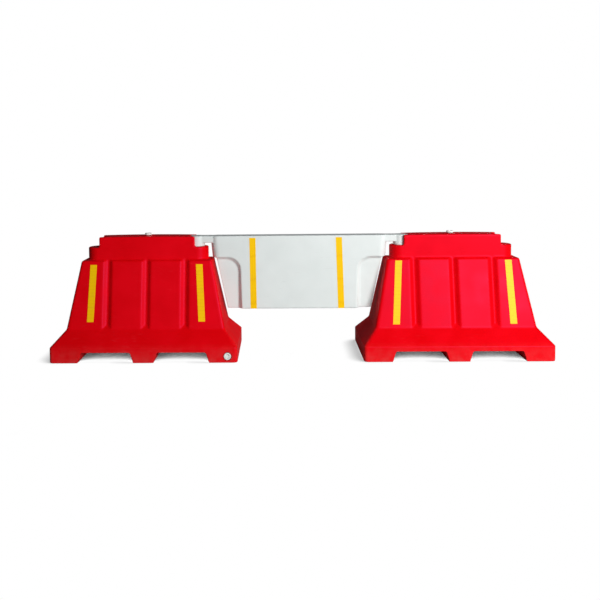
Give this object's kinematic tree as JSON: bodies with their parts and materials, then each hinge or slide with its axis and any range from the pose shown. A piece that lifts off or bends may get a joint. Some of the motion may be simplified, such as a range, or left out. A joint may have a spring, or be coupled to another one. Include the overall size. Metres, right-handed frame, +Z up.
{
  "type": "water-filled barrier set",
  "caption": "Water-filled red plastic barrier bases with a white panel hung between them on swivelling arms; the panel lifts off and the screw plugs come out.",
  "frame": {"origin": "on the ground under the middle of the panel", "axes": "+X along the set from the left base to the right base, -Y towards the front, +Z up"},
  "size_m": [2.668, 0.46, 0.6665],
  "materials": {
    "base_plastic": "satin, rotationally moulded",
    "panel_plastic": "satin, rotationally moulded",
    "plug_plastic": "satin",
    "insert_plastic": "matte",
    "washer_rubber": "matte",
    "reflective_tape": "retroreflective sheet",
    "pin_steel": "galvanised tube"
  },
  "bodies": {
    "panel": {"panel_shell": "panel_plastic", "panel_vent_plug": "plug_plastic", "panel_tape_front_left": "reflective_tape", "panel_tape_front_right": "reflective_tape", "panel_tape_back_left": "reflective_tape", "panel_tape_back_right": "reflective_tape"},
    "left_pin": {"left_pivot_pin": "pin_steel"},
    "left_base": {"left_base_shell": "base_plastic", "left_fill_port_insert": "insert_plastic", "left_drain_port_insert": "insert_plastic", "left_tape_front_left": "reflective_tape", "left_tape_front_right": "reflective_tape", "left_tape_back_left": "reflective_tape", "left_tape_back_right": "reflective_tape"},
    "left_fill_washer": {"left_fill_washer": "washer_rubber"},
    "left_fill_plug": {"left_fill_plug": "plug_plastic"},
    "left_drain_washer": {"left_drain_washer": "washer_rubber"},
    "left_drain_plug": {"left_drain_plug": "plug_plastic"},
    "right_pin": {"right_pivot_pin": "pin_steel"},
    "right_base": {"right_base_shell": "base_plastic", "right_fill_port_insert": "insert_plastic", "right_drain_port_insert": "insert_plastic", "right_tape_front_left": "reflective_tape", "right_tape_front_right": "reflective_tape", "right_tape_back_left": "reflective_tape", "right_tape_back_right": "reflective_tape"},
    "right_fill_washer": {"right_fill_washer": "washer_rubber"},
    "right_fill_plug": {"right_fill_plug": "plug_plastic"},
    "right_drain_washer": {"right_drain_washer": "washer_rubber"},
    "right_drain_plug": {"right_drain_plug": "plug_plastic"}
  },
  "joints": [
    {"name": "left_unhook", "type": "slide", "parent": "panel", "child": "left_pin", "axis": [0, 0, -1], "range_m": [0, 0.08]},
    {"name": "left_swing", "type": "hinge", "parent": "left_pin", "child": "left_base", "pos_m": [-0.562, 0, 0.593], "axis": [0, 0, 1], "range_deg": [-22, 22]},
    {"name": "left_fill_rise", "type": "slide", "parent": "left_base", "child": "left_fill_washer", "axis": [0, 0, 1], "range_m": [0, 0.0185]},
    {"name": "left_fill_turn", "type": "hinge", "parent": "left_fill_washer", "child": "left_fill_plug", "pos_m": [-0.834, 0, 0.6555], "axis": [0, 0, 1], "range_deg": [0, 1440]},
    {"name": "left_drain_rise", "type": "slide", "parent": "left_base", "child": "left_drain_washer", "axis": [0, -1, 0], "range_m": [0, 0.0185]},
    {"name": "left_drain_turn", "type": "hinge", "parent": "left_drain_washer", "child": "left_drain_plug", "pos_m": [-0.387, -0.218, 0.033], "axis": [0, -1, 0], "range_deg": [0, 1440]},
    {"name": "right_unhook", "type": "slide", "parent": "panel", "child": "right_pin", "axis": [0, 0, -1], "range_m": [0, 0.08]},
    {"name": "right_swing", "type": "hinge", "parent": "right_pin", "child": "right_base", "pos_m": [0.562, 0, 0.593], "axis": [0, 0, 1], "range_deg": [-22, 22]},
    {"name": "right_fill_rise", "type": "slide", "parent": "right_base", "child": "right_fill_washer", "axis": [0, 0, 1], "range_m": [0, 0.0185]},
    {"name": "right_fill_turn", "type": "hinge", "parent": "right_fill_washer", "child": "right_fill_plug", "pos_m": [0.834, 0, 0.6555], "axis": [0, 0, 1], "range_deg": [0, 1440]},
    {"name": "right_drain_rise", "type": "slide", "parent": "right_base", "child": "right_drain_washer", "axis": [0, 1, 0], "range_m": [0, 0.0185]},
    {"name": "right_drain_turn", "type": "hinge", "parent": "right_drain_washer", "child": "right_drain_plug", "pos_m": [0.387, 0.218, 0.033], "axis": [0, 1, 0], "range_deg": [0, 1440]}
  ],
  "couplings": [
    {"joint": "left_fill_rise", "follows": "left_fill_turn", "m_per_rad": 0.0007162},
    {"joint": "left_drain_rise", "follows": "left_drain_turn", "m_per_rad": 0.0007162},
    {"joint": "right_fill_rise", "follows": "right_fill_turn", "m_per_rad": 0.0007162},
    {"joint": "right_drain_rise", "follows": "right_drain_turn", "m_per_rad": 0.0007162}
  ]
}
